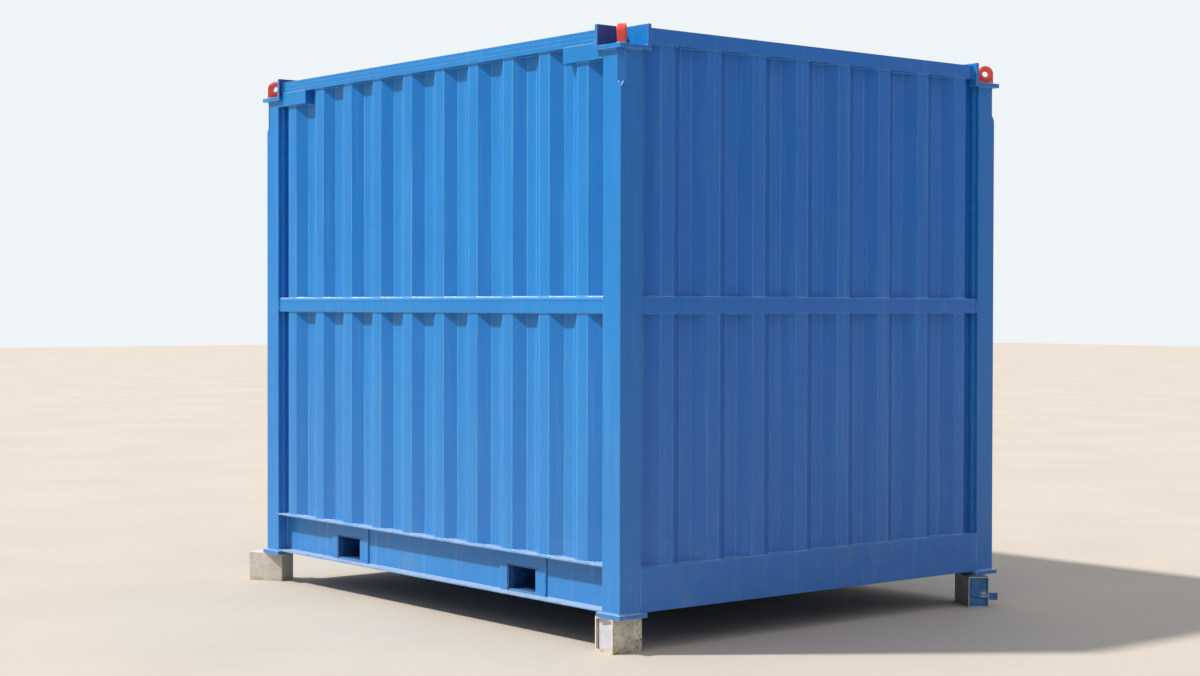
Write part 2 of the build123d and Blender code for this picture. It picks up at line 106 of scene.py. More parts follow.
# Painted shade on the lifting corners' inner walls
SHADE_NAVY, SHADE_PLUM = (0.012, 0.060, 0.210), (0.040, 0.022, 0.130)
WELD_BLUE, WELD_PALE = (0.020, 0.245, 0.610), (0.050, 0.300, 0.660)
# Painted shade inside the fork pockets' tubes, with patches of dirt
TUBE_SHADE, TUBE_SHADE_AND_DIRT = (0.010, 0.085, 0.260), (0.010, 0.035, 0.110)
# Painted shade of a narrow gap at the fork pockets' mouths
GAP_SHADE_DARK = (0.006, 0.032, 0.110)
SHINE = 0.28

# Colours of the lifting eyes, the door gear, the supports and the surroundings
RED, RED_DULL, RED_WORN = (0.84, 0.070, 0.048), (0.70, 0.050, 0.036), (0.86, 0.34, 0.30)
ZINC_DARK, ZINC_LIGHT = (0.46, 0.48, 0.50), (0.54, 0.56, 0.57)
PLATE_LILAC, PLATE_GREY = (0.60, 0.60, 0.68), (0.48, 0.49, 0.55)
WALL_CREAM, WALL_GREEN, WALL_BROWN = (0.66, 0.62, 0.52), (0.50, 0.53, 0.49), (0.36, 0.27, 0.17)
RIM_TAN = (0.80, 0.66, 0.50)
RUST_BRIGHT, RUST_DARK = (0.30, 0.135, 0.065), (0.13, 0.060, 0.032)
STUB_BLUE, STUB_NAVY = (0.050, 0.200, 0.480), (0.030, 0.120, 0.320)
GRIME_LIGHT, GRIME_DARK = (0.160, 0.155, 0.150), (0.060, 0.060, 0.062)
# Painted shade in the blue stub's split and slot
GAP_SHADE_BLACK = (0.006, 0.010, 0.022)
FLAKED, RIM_GREY = (0.52, 0.56, 0.62), (0.46, 0.52, 0.52)
CONCRETE_PALE, CONCRETE_DARK = (0.68, 0.62, 0.55), (0.55, 0.50, 0.43)
PIT_SHADE, CORNER_PALE, DAMP = (0.10, 0.09, 0.08), (0.74, 0.70, 0.63), (0.34, 0.30, 0.25)
FLOOR = (0.482, 0.428, 0.362)
BACKDROP = (0.87, 0.91, 0.94)
FILL = (0.90, 0.925, 1.0)

# Light: the fill's strength at the horizon and overhead, and the sun
FILL_LOW, FILL_HIGH = 0.12, 1.05
SUN_FROM, SUN_COLOUR = (-0.365, -0.487, 0.793), (1.0, 0.97, 0.92)
SUN_STRENGTH, SUN_WIDTH = 4.4, 3

# The photo's camera: place in metres, turns in degrees, focal length and sensor in millimetres
CAMERA_AT = (8.0005, -6.6293, 1.4860)
CAMERA_AZIMUTH, CAMERA_DOWN, CAMERA_ROLL = 50.8337, 0.8932, 0.1124
CAMERA_LENS, CAMERA_SENSOR = 59.658, 36.0

SIDES = ((-1, "left"), (1, "right"))


class Finish:
    """A material's node tree, with short calls for the nodes used here."""

    def __init__(self, name):
        self.material = bpy.data.materials.new(name)
        self.material.use_nodes = True
        self.tree = self.material.node_tree
        self.shader = self.tree.nodes["Principled BSDF"]

    def node(self, kind, inputs=None, **settings):
        """A new node with these settings, its inputs set or linked."""
        made = self.tree.nodes.new(kind)
        for key, value in settings.items():
            setattr(made, key, value)
        for key, value in (inputs or {}).items():
            self.put(made.inputs[key], value)
        return made

    def put(self, socket, value):
        """Links the value to the socket where it is a socket, and sets it otherwise."""
        if isinstance(value, bpy.types.NodeSocket):
            self.tree.links.new(value, socket)
        elif isinstance(value, (tuple, list)) and len(value) == 3 and socket.type == "RGBA":
            socket.default_value = (*value, 1)
        else:
            socket.default_value = value

    def geometry(self, name):
        """Position, Normal or True Normal of the shaded point."""
        return self.node("ShaderNodeNewGeometry").outputs[name]

    def axis(self, name, vector=None):
        """One coordinate of a vector, which is the shaded point unless one is given."""
        return self.node("ShaderNodeSeparateXYZ", {0: vector or self.geometry("Position")}).outputs[name]

    def facing(self, name):
        """One coordinate of the face's own normal, with no smoothing."""
        return self.axis(name, self.geometry("True Normal"))

    def local(self, origin, turn):
        """The place in the axes of a piece that stands at origin, turned about Z by so many degrees."""
        spot = (origin[0], origin[1], 0.0)
        moved = self.node(
            "ShaderNodeVectorMath", {0: self.geometry("Position"), 1: spot}, operation="SUBTRACT"
        )
        turned = self.node(
            "ShaderNodeVectorRotate",
            {"Vector": moved.outputs[0], "Angle": math.radians(-turn)},
            rotation_type="Z_AXIS",
        )
        return turned.outputs[0]

    def noise(self, scale, detail=3.0, rough=0.5, stretch=(1, 1, 1), shift=(0, 0, 0)):
        """Noise in the object's own space, scale in waves a metre."""
        mapping = self.node(
            "ShaderNodeMapping",
            {"Vector": self.geometry("Position"), "Scale": stretch, "Location": shift},
        )
        made = self.node(
            "ShaderNodeTexNoise",
            {"Vector": mapping.outputs[0], "Scale": scale, "Detail": detail, "Roughness": rough},
        )
        return made.outputs["Fac"]

    def cells(self, scale, output):
        """Small cells in the object's own space, as their Color or the Distance to their middles."""
        made = self.node("ShaderNodeTexVoronoi", {"Vector": self.geometry("Position"), "Scale": scale})
        return made.outputs[output]

    def ramp(self, value, low, high, first=0.0, last=1.0):
        """Maps low..high on to first..last, clamped and smoothed."""
        made = self.node(
            "ShaderNodeMapRange",
            {"Value": value, "From Min": low, "From Max": high, "To Min": first, "To Max": last},
            interpolation_type="SMOOTHSTEP",
        )
        return made.outputs["Result"]

    def patches(self, scale, detail, low, high, first=0.0, last=1.0, **shape):
        """Noise as soft patches: first where it is under low, and last where it is over high."""
        return self.ramp(self.noise(scale, detail, **shape), low, high, first, last)

    def maths(self, operation, a, b=0.0):
        return self.node("ShaderNodeMath", {0: a, 1: b}, operation=operation).outputs[0]

    def times(self, first, *others):
        """The product of all of them."""
        for other in others:
            first = self.maths("MULTIPLY", first, other)
        return first

    def above(self, value, limit):
        return self.maths("GREATER_THAN", value, limit)

    def below(self, value, limit):
        return self.maths("LESS_THAN", value, limit)

    def unsigned(self, value):
        return self.maths("ABSOLUTE", value)

    def outside(self, mask):
        return self.maths("SUBTRACT", 1.0, mask)

    def either(self, a, b):
        return self.maths("MAXIMUM", a, b)

    def mix(self, share, a, b):
        """Colour a where the share is nought, and colour b where it is one."""
        made = self.node("ShaderNodeMix", data_type="RGBA")
        self.put(made.inputs[0], share)
        self.put(made.inputs[6], a)
        self.put(made.inputs[7], b)
        return made.outputs[2]

    def rounded(self, radius):
        """The surface's normal with its edges rounded."""
        return self.node("ShaderNodeBevel", {"Radius": radius}, samples=6).outputs["Normal"]

    def edges(self, radius):
        """One along the edges and nought on the flats."""
        agree = self.node(
            "ShaderNodeVectorMath",
            {0: self.rounded(radius), 1: self.geometry("True Normal")},
            operation="DOT_PRODUCT",
        )
        return self.ramp(agree.outputs["Value"], 0.905, 0.985, 1.0, 0.0)

    def bump(self, height, distance, normal=None):
        """The normal bumped by the height, distance in metres."""
        made = self.node("ShaderNodeBump", {"Height": height, "Distance": distance})
        if normal is not None:
            self.put(made.inputs["Normal"], normal)
        return made.outputs["Normal"]

    def set(self, **sockets):
        """Sets or links the shader's sockets, and gives the material."""
        for key, value in sockets.items():
            self.put(self.shader.inputs[key.replace("_", " ")], value)
        return self.material

    def semi_gloss(self, colour, rough, normal):
        return self.set(Base_Color=colour, Roughness=rough, Normal=normal, Specular_IOR_Level=SHINE)


def painted(f, edge_radius, pale=BLUE_PALE, wear=0.55, chips=True, dust_and_highlight_level=0.45):
    """The container's blue paint, as colour, roughness and normal.

    It has broad fading, faint runs, and dust low down. As painted shade it is a deeper blue on faces towards
    +X, away from the key light.
    As a painted reflection of the bright floor it is paler low down. Level faces hold pale dust, which also
    serves as a painted highlight.
    Its edges are worn, unless edge_radius is nought.
    """
    colour = f.mix(f.times(f.patches(0.9, 3, 0.38, 0.66), 0.35), BLUE, BLUE_DEEP)
    # Painted shade: faces towards +X, away from the key light, turn a deeper blue, fully between the posts
    # and three quarters on the posts
    shaded_side = f.ramp(f.facing("X"), 0.3, 0.7)
    between_posts = f.below(f.unsigned(f.axis("Y")), WIDTH / 2 - POST)
    share = f.maths("ADD", 0.75, f.times(between_posts, 0.25))
    colour = f.mix(f.times(shaded_side, share), colour, SHADED_SIDE_BLUE)
    runs = f.patches(26, 4, 0.52, 0.74, 0.0, 0.16, stretch=(1, 1, 0.05))
    colour = f.mix(runs, colour, pale)
    # Painted reflection of the bright floor: paler towards the bottom
    colour = f.mix(f.ramp(f.axis("Z"), 0.3, 2.0, 0.09, 0.0), colour, FLOOR_REFLECTION_PALE)
    grime = f.patches(7, 6, 0.50, 0.78, 0.0, 0.22, rough=0.62)
    colour = f.mix(f.times(grime, f.ramp(f.axis("Z"), 0.20, 0.75, 1.0, 0.12)), colour, DUST)
    # Level faces: pale dust, also a painted highlight of the sunlit tops
    level = f.ramp(f.facing("Z"), 0.75, 0.95)
    dust_and_highlight = f.times(level, f.patches(16, 5, 0.25, 0.75, dust_and_highlight_level - 0.25, dust_and_highlight_level, rough=0.6))
    colour = f.mix(dust_and_highlight, colour, DUST_AND_HIGHLIGHT_PALE)
    rough = f.patches(11, 5, 0.3, 0.7, 0.28, 0.42)
    normal = None
    if edge_radius:
        normal = f.rounded(0.003)
        edge = f.edges(edge_radius)
        scuffed = f.times(edge, f.patches(34, 5, 0.55 - wear * 0.3, 0.65 - wear * 0.1, rough=0.6))
        colour = f.mix(f.times(scuffed, wear), colour, pale)
        if chips:
            bare = f.times(edge, f.patches(55, 4, 0.62, 0.68, rough=0.55, shift=(3, 1, 2)))
            colour = f.mix(bare, colour, f.mix(f.patches(90, 3, 0.4, 0.6), RUST, PRIMER))
            rough = f.maths("ADD", rough, f.times(bare, 0.35))
    dented = f.bump(f.noise(2.2, 2), 0.010, normal)
    return colour, rough, f.bump(f.noise(260, 2), 0.0003, dented)


def frame_paint():
    """The container's paint on its posts, rails and doors."""
    f = Finish("blue_paint")
    return f.semi_gloss(*painted(f, 0.006))


def sheet_finish():
    """The container's paint, with painted shade on the end sheets' slopes that face +Y, and a pale painted
    highlight along the bends.
    """
    f = Finish("blue_paint_sheet")
    colour, rough, normal = painted(f, 0)
    # Painted shade: end-sheet slopes facing +Y are darker
    shaded_slopes = f.times(f.ramp(f.facing("Y"), 0.25, 0.45), f.above(f.facing("X"), 0.5))
    colour = f.mix(f.times(shaded_slopes, 0.30), colour, SLOPE_SHADE)
    # Painted highlight: a pale line along the bends, broken by patches, half as strong on the end wall
    bend = f.node("ShaderNodeAttribute", attribute_name="bend").outputs["Fac"]
    bend_glint = f.times(bend, f.patches(9, 4, 0.35, 0.60, 0.25, 0.75, stretch=(1, 1, 0.15)))
    return f.semi_gloss(f.mix(bend_glint, colour, BEND_GLINT_BLUE), rough, normal)


def rail_paint(name, lip_wear_and_glint_share):
    """The container's paint with pale flange edges and thick pale dust on level faces: partly worn paint and
    dust, partly a painted highlight of the sunlit flanges.
    """
    f = Finish(name)
    colour, rough, normal = painted(f, 0.006, CHALKY_WEAR_AND_GLINT, wear=0.85, chips=False, dust_and_highlight_level=0.92)
    z = f.axis("Z")
    # Flange lips: partly worn paint, partly a painted highlight
    lip_wear_and_glint = f.either(f.below(z, FOOT + FLANGE_EDGE), f.above(z, BOTTOM_RAIL_TOP - FLANGE_EDGE))
    lip_wear_and_glint = f.times(lip_wear_and_glint, f.patches(20, 5, 0.35, 0.60, 0.3 * lip_wear_and_glint_share, lip_wear_and_glint_share))
    return f.semi_gloss(f.mix(lip_wear_and_glint, colour, CHALKY_WEAR_AND_GLINT), rough, normal)


def glint_paint():
    """Painted highlight: pale paint on the upper side of the middle rails' top strips at the two sides,
    standing in for the sun's glint there.
    """
    f = Finish("blue_paint_glint")
    tone = f.mix(f.patches(40, 5, 0.35, 0.62, rough=0.6), GLINT_WHITE, GLINT_BLUE)
    # The strip is paler where it faces up: the painted highlight
    up = f.ramp(f.axis("Z", f.geometry("Normal")), 0.40, 0.72)
    normal = f.bump(f.noise(160, 3), 0.0006)
    return f.set(Base_Color=f.mix(up, BLUE, tone), Roughness=0.45, Normal=normal)


def pocket_paint():
    """The container's paint, with painted shade: dark and a little purple on the corner walls' inner faces
    that face along X.
    """
    f = Finish("blue_paint_pocket")
    colour, rough, normal = painted(f, 0.005, CHALKY_WEAR_AND_GLINT, wear=0.7)
    # Painted shade on the inner faces of the corner walls that face along X, above the top plate
    along = f.above(f.unsigned(f.facing("X")), 0.9)
    over_plate = f.above(f.axis("Z"), PLATE_TOP)
    inner = f.times(along, over_plate, f.below(f.unsigned(f.axis("X")), LENGTH / 2 - 0.10))
    painted_shade = f.mix(f.patches(15, 3, 0.40, 0.60), SHADE_NAVY, SHADE_PLUM)
    return f.semi_gloss(f.mix(f.times(inner, 0.85), colour, painted_shade), rough, normal)


def weld_paint():
    """Glossy paint over weld beads, paler on their upper sides as a painted highlight of their sunlit crests.
    """
    f = Finish("blue_paint_weld")
    colour = f.mix(f.patches(70, 4, 0.35, 0.65), WELD_BLUE, WELD_PALE)
    # Painted highlight: the beads' upper sides are paler
    up = f.ramp(f.axis("Z", f.geometry("Normal")), 0.35, 0.80, 0.0, 0.4)
    normal = f.bump(f.noise(300, 3), 0.0010)
    colour = f.mix(up, colour, CHALKY_WEAR_AND_GLINT)
    return f.set(
        Base_Color=colour, Roughness=0.26, Normal=normal, Coat_Weight=0.4, Coat_Roughness=0.18
    )


def fork_paint():
    """The container's paint, darkened inside the tube as painted shade with patches of dirt, and with a dark
    line of painted gap shade beside and over its mouth.
    """
    f = Finish("blue_paint_fork")
    colour, rough, normal = painted(f, 0.005)
    across = f.unsigned(f.axis("Y"))
    # Painted shade: the inside of the tube is darkened, with patches of dirt
    inside = f.ramp(across, FORK_MOUTH - 0.030, FORK_MOUTH - 0.002, 1.0, 0.0)
    grime = f.mix(f.patches(24, 5, 0.4, 0.65, rough=0.6), TUBE_SHADE, TUBE_SHADE_AND_DIRT)
    colour = f.mix(f.times(inside, 0.8), colour, grime)
    # Painted shade of a narrow gap: a dark line beside the mouth's jamb and over its head
    from_middle = f.maths("SUBTRACT", f.unsigned(f.axis("X")), FORK_SPACING / 2)
    side = f.times(f.maths("SIGN", f.axis("X")), from_middle)
    jamb = f.times(
        f.below(side, -JAMB_NEAR), f.above(side, -JAMB_FAR), f.below(f.axis("Z"), FORK_HEAD + 2 * HEAD_LINE)
    )
    over = f.unsigned(f.maths("SUBTRACT", f.axis("Z"), FORK_HEAD + HEAD_LINE))
    head = f.times(f.below(over, HEAD_LINE), f.below(f.unsigned(side), JAMB_FAR))
    gap_shade = f.either(f.times(jamb, f.patches(60, 4, 0.30, 0.45, 0.55, 1.0)), f.times(head, 0.7))
    gap_shade = f.times(gap_shade, f.ramp(across, FORK_MOUTH - 0.012, FORK_MOUTH - 0.006))
    return f.semi_gloss(f.mix(f.times(gap_shade, 0.9), colour, GAP_SHADE_DARK), rough, normal)


def eye_paint():
    """Red above the top plate, and the container's blue on the shank in the post."""
    f = Finish("red_paint")
    blue = painted(f, 0)[0]
    red = f.mix(f.patches(18, 5, 0.35, 0.7), RED, RED_DULL)
    worn = f.times(f.edges(0.004), f.patches(60, 4, 0.50, 0.60))
    red = f.mix(f.times(worn, 0.7), red, RED_WORN)
    ragged = f.maths("ADD", f.axis("Z"), f.times(f.noise(40), 0.004))
    colour = f.mix(f.ramp(ragged, PLATE_TOP, PLATE_TOP + 0.003), blue, red)
    normal = f.bump(f.noise(240, 2), 0.0004, f.rounded(0.004))
    return f.set(Base_Color=colour, Roughness=0.36, Normal=normal)


def zinc():
    """Dull galvanising with fine spangles and faint rust stains."""
    f = Finish("galvanised")
    spangle = f.ramp(f.axis("X", f.cells(140.0, "Color")), 0.0, 1.0)
    stain = f.patches(12, 6, 0.62, 0.80, 0.0, 0.35, rough=0.6)
    colour = f.mix(stain, f.mix(spangle, ZINC_DARK, ZINC_LIGHT), RUST)
    rough = f.patches(24, 4, 0.3, 0.7, 0.38, 0.58)
    normal = f.bump(f.noise(150, 3), 0.00012, f.rounded(0.003))
    return f.set(Base_Color=colour, Metallic=0.85, Roughness=rough, Normal=normal)


def stub_masks(f, stub):
    """The place in a hollow stub's own axes, the rim of its mouth, and what lies within its walls."""
    origin, turn, long, wide, wall = stub
    spot = f.local(origin, turn)
    lining = wall + 0.0005
    z = f.axis("Z", spot)
    inner = f.times(
        f.below(f.unsigned(f.axis("Y", spot)), wide / 2 - lining),
        f.above(z, lining),
        f.below(z, STUB_HIGH - lining),
    )
    mouth = f.above(f.unsigned(f.axis("X", spot)), long / 2 - 0.0012)
    return spot, f.times(mouth, f.outside(inner)), inner


def pale_steel():
    """Old pale paint on the plate and the walls, with the cut rim and the lower edges rusted."""
    f = Finish("pale_steel")
    spot, rim, inner = stub_masks(f, PALE_STUB)
    plate = f.mix(f.patches(16, 6, 0.35, 0.7, rough=0.6), PLATE_LILAC, PLATE_GREY)
    walls = f.mix(f.patches(11, 5, 0.38, 0.62, rough=0.6), WALL_CREAM, WALL_GREEN)
    walls = f.mix(f.patches(20, 7, 0.42, 0.66, 0.0, 0.75, rough=0.66), walls, WALL_BROWN)
    colour = f.mix(rim, f.mix(inner, walls, plate), RIM_TAN)
    rust = f.mix(f.patches(48, 6, 0.35, 0.7, rough=0.65), RUST_BRIGHT, RUST_DARK)
    low = f.ramp(f.axis("Z", spot), 0.004, 0.050, 1.0, 0.0)
    rear = f.ramp(f.axis("X", spot), -0.072, -0.020, 1.0, 0.0)
    weathered = f.times(f.either(low, rear), 0.10)
    pocked = f.ramp(f.maths("ADD", f.noise(85, 6, 0.66), weathered), 0.60, 0.68)
    edge = f.times(f.edges(0.005), f.patches(40, 5, 0.36, 0.55, 0.15, 0.60))
    share = f.either(f.times(f.outside(inner), pocked, 0.8), edge)
    rough = f.ramp(share, 0, 1, 0.55, 0.90)
    normal = f.bump(f.noise(120, 5, 0.6), 0.0012, f.rounded(0.003))
    return f.set(Base_Color=f.mix(share, colour, rust), Roughness=rough, Normal=normal)


def dark_blue_steel():
    """Blue paint on the mouth's split plate and on the lug, painted shade in the split and a slot, a chipped
    pale rim and grimy flanks.
    """
    f = Finish("dark_blue_steel")
    spot, rim, inner = stub_masks(f, BLUE_STUB)
    x, y, z = (f.axis(name, spot) for name in "XYZ")
    paint = f.mix(f.patches(20, 6, 0.35, 0.7, rough=0.6), STUB_BLUE, STUB_NAVY)
    grime = f.mix(f.patches(30, 6, 0.35, 0.7, rough=0.65), GRIME_LIGHT, GRIME_DARK)
    flank = f.times(f.outside(inner), f.below(y, 0.050), f.outside(f.above(x, 0.1185)))
    colour = f.mix(f.times(flank, f.patches(14, 5, 0.28, 0.48)), paint, grime)

    # Painted shade: dark lines for the split in the mouth's plate and for a slot
    line = f.maths("ADD", 0.0455, f.times(y, -0.16))
    split = f.ramp(f.unsigned(f.maths("SUBTRACT", z, line)), 0.0012, 0.0035, 1.0, 0.0)
    slot = f.ramp(f.unsigned(f.maths("ADD", y, 0.0425)), 0.0010, 0.0030, 1.0, 0.0)
    gaps = f.times(f.either(split, f.times(slot, f.below(z, 0.088))), inner)
    colour = f.mix(f.times(gaps, 0.93), colour, GAP_SHADE_BLACK)

    from_patch = f.unsigned(f.maths("SUBTRACT", z, 0.061))
    flaked = f.times(f.ramp(y, 0.008, 0.024), f.ramp(from_patch, 0.010, 0.018, 1.0, 0.0))
    flaked = f.times(flaked, inner, f.patches(75, 4, 0.36, 0.48))
    colour = f.mix(f.times(flaked, 0.8), colour, FLAKED)

    body = f.below(y, 0.0518)
    worn = f.times(f.times(rim, body), f.patches(70, 5, 0.30, 0.42, rough=0.6))
    colour = f.mix(worn, colour, RIM_GREY)
    spots = f.patches(62, 5, 0.66, 0.72, rough=0.6, shift=(4, 0, 1))
    colour = f.mix(f.times(spots, body, 0.8), colour, RUST)
    normal = f.bump(f.noise(130, 5, 0.6), 0.0010, f.rounded(0.002))
    return f.set(Base_Color=colour, Roughness=0.50, Normal=normal)


def concrete():
    """Rough concrete with pits darkened as painted shade, worn corners and a damp foot."""
    f = Finish("concrete")
    tone = f.mix(f.patches(6, 7, 0.35, 0.68, rough=0.6), CONCRETE_PALE, CONCRETE_DARK)
    # Painted shade: the pits are darkened as well as sunk by the bump
    pits = f.ramp(f.cells(130.0, "Distance"), 0.10, 0.22, 1.0, 0.0)
    pits = f.times(pits, f.patches(20, 3, 0.50, 0.60))
    tone = f.mix(f.times(pits, 0.7), tone, PIT_SHADE)
    worn = f.times(f.edges(0.008), f.patches(45, 5, 0.42, 0.58))
    tone = f.mix(f.times(worn, 0.6), tone, CORNER_PALE)
    low = f.ramp(f.axis("Z"), 0.0, 0.030, 0.6, 0.0)
    tone = f.mix(f.times(low, f.patches(30, 5, 0.35, 0.6)), tone, DAMP)
    height = f.maths("ADD", f.noise(45, 8, 0.62), f.times(pits, -0.5))
    return f.set(Base_Color=tone, Roughness=0.92, Normal=f.bump(height, 0.004, f.rounded(0.006)))


finishes = {
    "blue_paint": frame_paint(),
    "red_paint": eye_paint(),
    "galvanised": zinc(),
    "pale_steel": pale_steel(),
    "dark_blue_steel": dark_blue_steel(),
    "concrete": concrete(),
}
sheet_paint = sheet_finish()
bead_paint = weld_paint()
glint_finish = glint_paint()
special = {
    "side_bottom_rail": rail_paint("blue_paint_rail", 0.40),
    "base_plate": rail_paint("blue_paint_plate", 0.0),
    "corner_pocket": pocket_paint(),
    "fork_pocket": fork_paint(),
}
slots = {part["node"]: part["material_slot"] for part in frame["record"]["subparts"]}
for name, item in frame["nodes"].items():
    own = [finish for start, finish in special.items() if name.startswith(start)]
    item.data.materials.clear()
    item.data.materials.append(own[0] if own else finishes[slots[name]])


def add_piece(name, verts, faces, finish, sharp=35):
    """A new mesh that rides on the container, smooth apart from its sharp edges."""
    mesh = bpy.data.meshes.new(name)
    mesh.from_pydata([tuple(v) for v in verts], [], faces)
    work = bmesh.new()
    work.from_mesh(mesh)
    bmesh.ops.recalc_face_normals(work, faces=work.faces)
    work.to_mesh(mesh)
    work.free()
    mesh.shade_smooth()
    mesh.set_sharp_from_angle(angle=math.radians(sharp))
    item = bpy.data.objects.new(name, mesh)
    bpy.context.scene.collection.objects.link(item)
    mesh.materials.append(finish)
    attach(item, "root")
    return item


def wave_at(s, flat_end):
    """Depth of the corrugation behind the post face, at a distance s along the wall."""
    phase = (s - flat_end) % PITCH
    if phase < SLOPE:
        return RECESS + WAVE * phase / SLOPE
    if phase < SLOPE + INNER_FLAT:
        return RECESS + WAVE
    if phase < 2 * SLOPE + INNER_FLAT:
        return RECESS + WAVE * (2 * SLOPE + INNER_FLAT - phase) / SLOPE
    return RECESS


def wave_line(start, end, flat_end):
    """The corners of the corrugation in plan, as (distance along the wall, depth)."""
    bends = (0, SLOPE, SLOPE + INNER_FLAT, 2 * SLOPE + INNER_FLAT)
    first, last = math.floor((start - flat_end) / PITCH), math.ceil((end - flat_end) / PITCH)
    turns = [flat_end + k * PITCH + bend for k in range(first, last + 1) for bend in bends]
    along = [start] + [s for s in turns if start + BEND_CLEAR < s < end - BEND_CLEAR] + [end]
    return [Vector((s, wave_at(s, flat_end))) for s in along]


def rounded_line(points):
    """The same line with its corners turned into short arcs."""
    line = [points[0]]
    for before, corner, after in zip(points, points[1:], points[2:]):
        a, b = before - corner, after - corner
        half = a.angle(b) / 2
        cut = min(BEND_RADIUS / math.tan(half), 0.4 * min(a.length, b.length))
        start, end = corner + a.normalized() * cut, corner + b.normalized() * cut
        for k in range(BEND_STEPS + 1):
            t = k / BEND_STEPS
            line.append(start * (1 - t) ** 2 + corner * 2 * t * (1 - t) + end * t ** 2)
    line.append(points[-1])
    return line


def offset_line(points, gap):
    """The line moved sideways by the gap, square to its run at each point."""
    moved = []
    for k, point in enumerate(points):
        run = points[min(k + 1, len(points) - 1)] - points[max(k - 1, 0)]
        run.normalize()
        moved.append(point + Vector((-run.y, run.x)) * gap)
    return moved


def split_at(points, places):
    """Adds a doubled point at each place, where the sheet's upper edge steps."""
    line = []
    for before, after in zip(points, points[1:]):
        line.append(before)
        for place in places:
            if before.x < place < after.x:
                share = (place - before.x) / (after.x - before.x)
                line += [before.lerp(after, share), before.lerp(after, share)]
    line.append(points[-1])
    return line


def upper_edge(line, steps, notch, high):
    """The sheet's height at each point: lower in the notches, which end at doubled points."""
    tops = []
    for k, point in enumerate(line):
        outer = notch and (point.x < steps[0] + SAME_PLACE or point.x > steps[1] - SAME_PLACE)
        if notch and abs(point.x - steps[0]) < SAME_PLACE:
            outer = line[k + 1].x - point.x < SAME_PLACE
        if notch and abs(point.x - steps[1]) < SAME_PLACE:
            outer = point.x - line[k - 1].x < SAME_PLACE
        tops.append(high - notch[1] if outer else high)
    return tops


def sheet(name, node, wall, to_world, low, high, notch=None, glint_share=1.0):
    """Corrugated sheet with rounded bends, on a wall given as (start, end, flat_end).

    The notch is the (length, height) that is left out at both upper corners.
    """
    start, end, _ = wall
    steps = (start + notch[0], end - notch[0]) if notch else ()
    line = split_at(rounded_line(wave_line(*wall)), steps)
    inner = offset_line([p.copy() for p in line], SHEET)
    tops = upper_edge(line, steps, notch, high)
    count = len(line)
    verts = []
    for row, heights in ((line, [low] * count), (line, tops), (inner, [low] * count), (inner, tops)):
        verts += [to_world(p.x, p.y, z) for p, z in zip(row, heights)]
    faces = []
    for k in range(count - 1):
        a, b, c, d = k, k + count, k + 2 * count, k + 3 * count
        if (line[k + 1] - line[k]).length > SAME_PLACE:
            faces += [(a, a + 1, b + 1, b), (c, c + 1, d + 1, d), (a, a + 1, c + 1, c)]
        faces.append((b, b + 1, d + 1, d))
    for k in (0, count - 1):
        faces.append((k, k + count, k + 3 * count, k + 2 * count))
    piece = add_piece(name, verts, faces, sheet_paint)
    mark_bends(piece, line, glint_share)
    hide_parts(node)


def mark_bends(piece, line, glint_share):
    """Says at each vertex of a sheet how much of a bend it is, for the painted highlight along the bends."""
    shares = [0.0] * len(line)
    for k in range(1, len(line) - 1):
        reach = max((line[k] - line[k - 1]).length, (line[k + 1] - line[k]).length)
        if SAME_PLACE < reach < BEND_STEP_MOST:
            shares[k] = glint_share
    marks = piece.data.attributes.new("bend", "FLOAT", "POINT")
    marks.data.foreach_set("value", shares * 4)


def side_place(side):
    """Turns (distance along a side wall, depth behind the post face, height) into a place."""
    return lambda s, d, z: (-LENGTH / 2 + s, side * (WIDTH / 2 - d), z)


def end_place(s, d, z):
    """The same for the closed end's wall."""
    return (LENGTH / 2 - d, -WIDTH / 2 + s, z)


side_wall = (POST, LENGTH - POST, SIDE_FLAT_END)
end_wall = (POST, WIDTH - POST, END_FLAT_END)
haunch_notch = (HAUNCH_LONG, RAIL_LOW - HAUNCH_LOW)
corner_notch = (POCKET - POST, RAIL_LOW - POST_TOP)
for side, label in SIDES:
    sheet(
        "upper_side_sheet_" + label, "upper_side_panel_" + label,
        side_wall, side_place(side), MID_TOP, RAIL_LOW, haunch_notch,
    )
    sheet(
        "lower_side_sheet_" + label, "lower_side_panel_" + label,
        side_wall, side_place(side), BOTTOM_RAIL_TOP, MID_LOW,
    )
sheet(
    "upper_end_sheet", "upper_end_panel", end_wall, end_place, MID_TOP, RAIL_LOW, corner_notch, glint_share=0.5
)
sheet("lower_end_sheet", "lower_end_panel", end_wall, end_place, FLOOR_TOP, MID_LOW, glint_share=0.5)


def spaced(points, step):
    """Points at about even steps along a line."""
    line = [points[0]]
    for before, after in zip(points, points[1:]):
        count = max(1, round((after - before).length / step))
        line += [before.lerp(after, k / count) for k in range(1, count + 1)]
    return line


